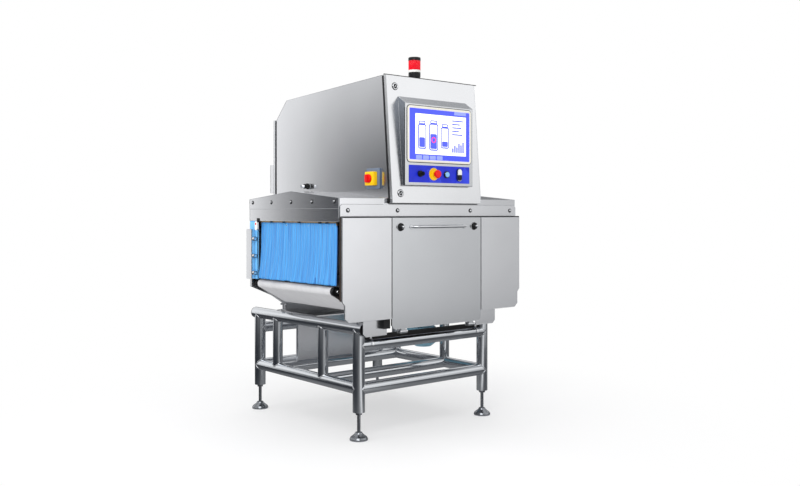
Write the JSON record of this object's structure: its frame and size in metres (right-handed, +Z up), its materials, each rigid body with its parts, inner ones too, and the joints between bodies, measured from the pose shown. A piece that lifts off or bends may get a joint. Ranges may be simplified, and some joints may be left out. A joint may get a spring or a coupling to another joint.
{
  "type": "food x-ray inspection machine",
  "caption": "Belt conveyor through a lead-lined tunnel on a tube stand, with curtained mouths, drop-down front door and a control cabinet on top.",
  "frame": {"origin": "centre of the bounding box on the floor", "axes": "+X along the conveyor from infeed to outfeed, +Y to the rear, +Z up"},
  "size_m": [1.246, 1.178, 1.9168],
  "materials": {
    "polished_tube": "polished stainless tube",
    "turned_steel": "turned stainless",
    "brushed_sheet": "brushed stainless sheet",
    "lead_lined": "dark lead-lined core",
    "black_rubber": "matt rubber",
    "black_plastic": "moulded nylon",
    "dark_steel": "bolt heads",
    "hanger_beige": "anodised strip",
    "blue_curtain": "blue lead-rubber strip",
    "white_belt": "white food belt",
    "motor_enamel": "grey-teal enamel",
    "detector_case": "anodised case",
    "source_case": "cast case",
    "control_gear": "moulded housings",
    "screen": "screen in a cream bezel",
    "button_blue": "laminate",
    "red_plastic": "moulded",
    "yellow_plastic": "moulded",
    "pale_blue_plastic": "moulded",
    "white_plastic": "moulded",
    "beacon_red": "ribbed lens"
  },
  "bodies": {
    "machine": {"stand_uprights": "polished_tube", "stand_side_tubes": "polished_tube", "stand_cross_tubes": "polished_tube", "levelling_feet": "turned_steel", "door_gland": "turned_steel", "floor_pan": "brushed_sheet", "front_brackets": "brushed_sheet", "rear_wall": "brushed_sheet", "rear_lower_panel": "brushed_sheet", "tunnel_roof": "brushed_sheet", "end_plates": "brushed_sheet", "front_rail": "brushed_sheet", "front_panels": "brushed_sheet", "conveyor_frame": "brushed_sheet", "cabinet_shell": "brushed_sheet", "cabinet_fittings": "brushed_sheet", "flap_clamps": "brushed_sheet", "front_wall": "lead_lined", "rest_strip": "black_rubber", "panel_gaskets": "black_rubber", "cabinet_seals": "black_rubber", "toothed_belt": "black_rubber", "tube_end_caps": "black_plastic", "roller_bearings": "black_plastic", "sensors": "black_plastic", "beacon_base": "black_plastic", "housing_bolts": "dark_steel", "curtain_hangers": "hanger_beige", "side_flaps": "blue_curtain", "conveyor_belt": "white_belt", "gear_motor": "motor_enamel", "line_detector": "detector_case", "xray_source": "source_case", "control_unit": "control_gear", "isolator_body": "yellow_plastic", "beacon_lens": "beacon_red"},
    "infeed_curtain": {"infeed_curtain": "blue_curtain"},
    "outfeed_curtain": {"outfeed_curtain": "blue_curtain"},
    "access_door": {"access_door": "brushed_sheet"},
    "access_knob_left": {"access_knob_left": "black_plastic"},
    "access_knob_right": {"access_knob_right": "black_plastic"},
    "infeed_nose_roller": {"infeed_nose_roller": "turned_steel"},
    "outfeed_nose_roller": {"outfeed_nose_roller": "turned_steel"},
    "return_roller": {"return_roller": "turned_steel"},
    "drive_drum": {"drive_drum": "turned_steel"},
    "drive_pulley": {"drive_pulley": "turned_steel"},
    "cabinet_door": {"cabinet_door": "brushed_sheet", "hmi_housing": "brushed_sheet", "touch_screen": "screen", "button_plate": "button_blue"},
    "door_lock_top": {"door_lock_top": "brushed_sheet"},
    "door_lock_bottom": {"door_lock_bottom": "brushed_sheet"},
    "key_switch": {"key_switch": "black_plastic"},
    "estop_head": {"estop_head": "red_plastic"},
    "reset_button": {"reset_button": "pale_blue_plastic"},
    "start_button": {"start_button": "white_plastic"},
    "stop_button": {"stop_button": "black_plastic"},
    "isolator_knob": {"isolator_knob": "red_plastic"},
    "rear_door": {"rear_door": "brushed_sheet", "rear_cover": "brushed_sheet"}
  },
  "joints": [
    {"name": "drum_turn", "type": "hinge", "parent": "machine", "child": "drive_drum", "pos_m": [0.4, 0.038, 0.674], "axis": [0, 1, 0], "continuous": true},
    {"name": "infeed_nose_turn", "type": "hinge", "parent": "machine", "child": "infeed_nose_roller", "pos_m": [-0.574, 0.038, 0.73], "axis": [0, 1, 0], "continuous": true},
    {"name": "outfeed_nose_turn", "type": "hinge", "parent": "machine", "child": "outfeed_nose_roller", "pos_m": [0.574, 0.038, 0.73], "axis": [0, 1, 0], "continuous": true},
    {"name": "return_turn", "type": "hinge", "parent": "machine", "child": "return_roller", "pos_m": [-0.42, 0.038, 0.647], "axis": [0, 1, 0], "continuous": true},
    {"name": "motor_pulley_turn", "type": "hinge", "parent": "machine", "child": "drive_pulley", "pos_m": [0.312, 0.038, 0.5065], "axis": [0, 1, 0], "continuous": true},
    {"name": "infeed_curtain_swing", "type": "hinge", "parent": "machine", "child": "infeed_curtain", "pos_m": [-0.579, 0.038, 1.052], "axis": [0, -1, 0], "range_deg": [0, 70]},
    {"name": "outfeed_curtain_swing", "type": "hinge", "parent": "machine", "child": "outfeed_curtain", "pos_m": [0.579, 0.038, 1.052], "axis": [0, -1, 0], "range_deg": [0, 70]},
    {"name": "access_door_swing", "type": "hinge", "parent": "machine", "child": "access_door", "pos_m": [0, -0.531, 0.522], "axis": [1, 0, 0], "range_deg": [0, 90]},
    {"name": "access_knob_left_turn", "type": "hinge", "parent": "access_door", "child": "access_knob_left", "pos_m": [-0.25149, -0.533, 1.035], "axis": [0, -1, 0], "range_deg": [0, 90]},
    {"name": "access_knob_right_turn", "type": "hinge", "parent": "access_door", "child": "access_knob_right", "pos_m": [0.25149, -0.533, 1.035], "axis": [0, -1, 0], "range_deg": [0, 90]},
    {"name": "cabinet_door_swing", "type": "hinge", "parent": "machine", "child": "cabinet_door", "pos_m": [0.3095, -0.50799, 1.17625], "axis": [0, 0.0822, 0.9966], "range_deg": [0, 110]},
    {"name": "door_lock_top_turn", "type": "hinge", "parent": "cabinet_door", "child": "door_lock_top", "pos_m": [-0.249, -0.48751, 1.72843], "axis": [0, -0.9966, 0.0822], "range_deg": [0, 90]},
    {"name": "door_lock_bottom_turn", "type": "hinge", "parent": "cabinet_door", "child": "door_lock_bottom", "pos_m": [-0.249, -0.5311, 1.20023], "axis": [0, -0.9966, 0.0822], "range_deg": [0, 90]},
    {"name": "key_turn", "type": "hinge", "parent": "cabinet_door", "child": "key_switch", "pos_m": [-0.139, -0.549, 1.298], "axis": [0, -1, 0], "range_deg": [0, 90]},
    {"name": "estop_press", "type": "slide", "parent": "cabinet_door", "child": "estop_head", "axis": [0, 1, 0], "range_m": [0, 0.0045], "stiffness_N_per_m": 400},
    {"name": "reset_press", "type": "slide", "parent": "cabinet_door", "child": "reset_button", "axis": [0, 1, 0], "range_m": [0, 0.004], "stiffness_N_per_m": 400},
    {"name": "start_press", "type": "slide", "parent": "cabinet_door", "child": "start_button", "axis": [0, 1, 0], "range_m": [0, 0.004], "stiffness_N_per_m": 400},
    {"name": "stop_press", "type": "slide", "parent": "cabinet_door", "child": "stop_button", "axis": [0, 1, 0], "range_m": [0, 0.004], "stiffness_N_per_m": 400},
    {"name": "isolator_turn", "type": "hinge", "parent": "machine", "child": "isolator_knob", "pos_m": [-0.303, -0.392, 1.274], "axis": [-1, 0, 0], "range_deg": [0, 90]},
    {"name": "rear_door_swing", "type": "hinge", "parent": "machine", "child": "rear_door", "pos_m": [0.3095, 0.535, 0], "axis": [0, 0, -1], "range_deg": [0, 110]}
  ],
  "couplings": [
    {"joint": "infeed_nose_turn", "follows": "drum_turn", "ratio": 2.5},
    {"joint": "outfeed_nose_turn", "follows": "drum_turn", "ratio": 2.5},
    {"joint": "return_turn", "follows": "drum_turn", "ratio": 2.1739},
    {"joint": "motor_pulley_turn", "follows": "drum_turn", "ratio": 1.4}
  ]
}
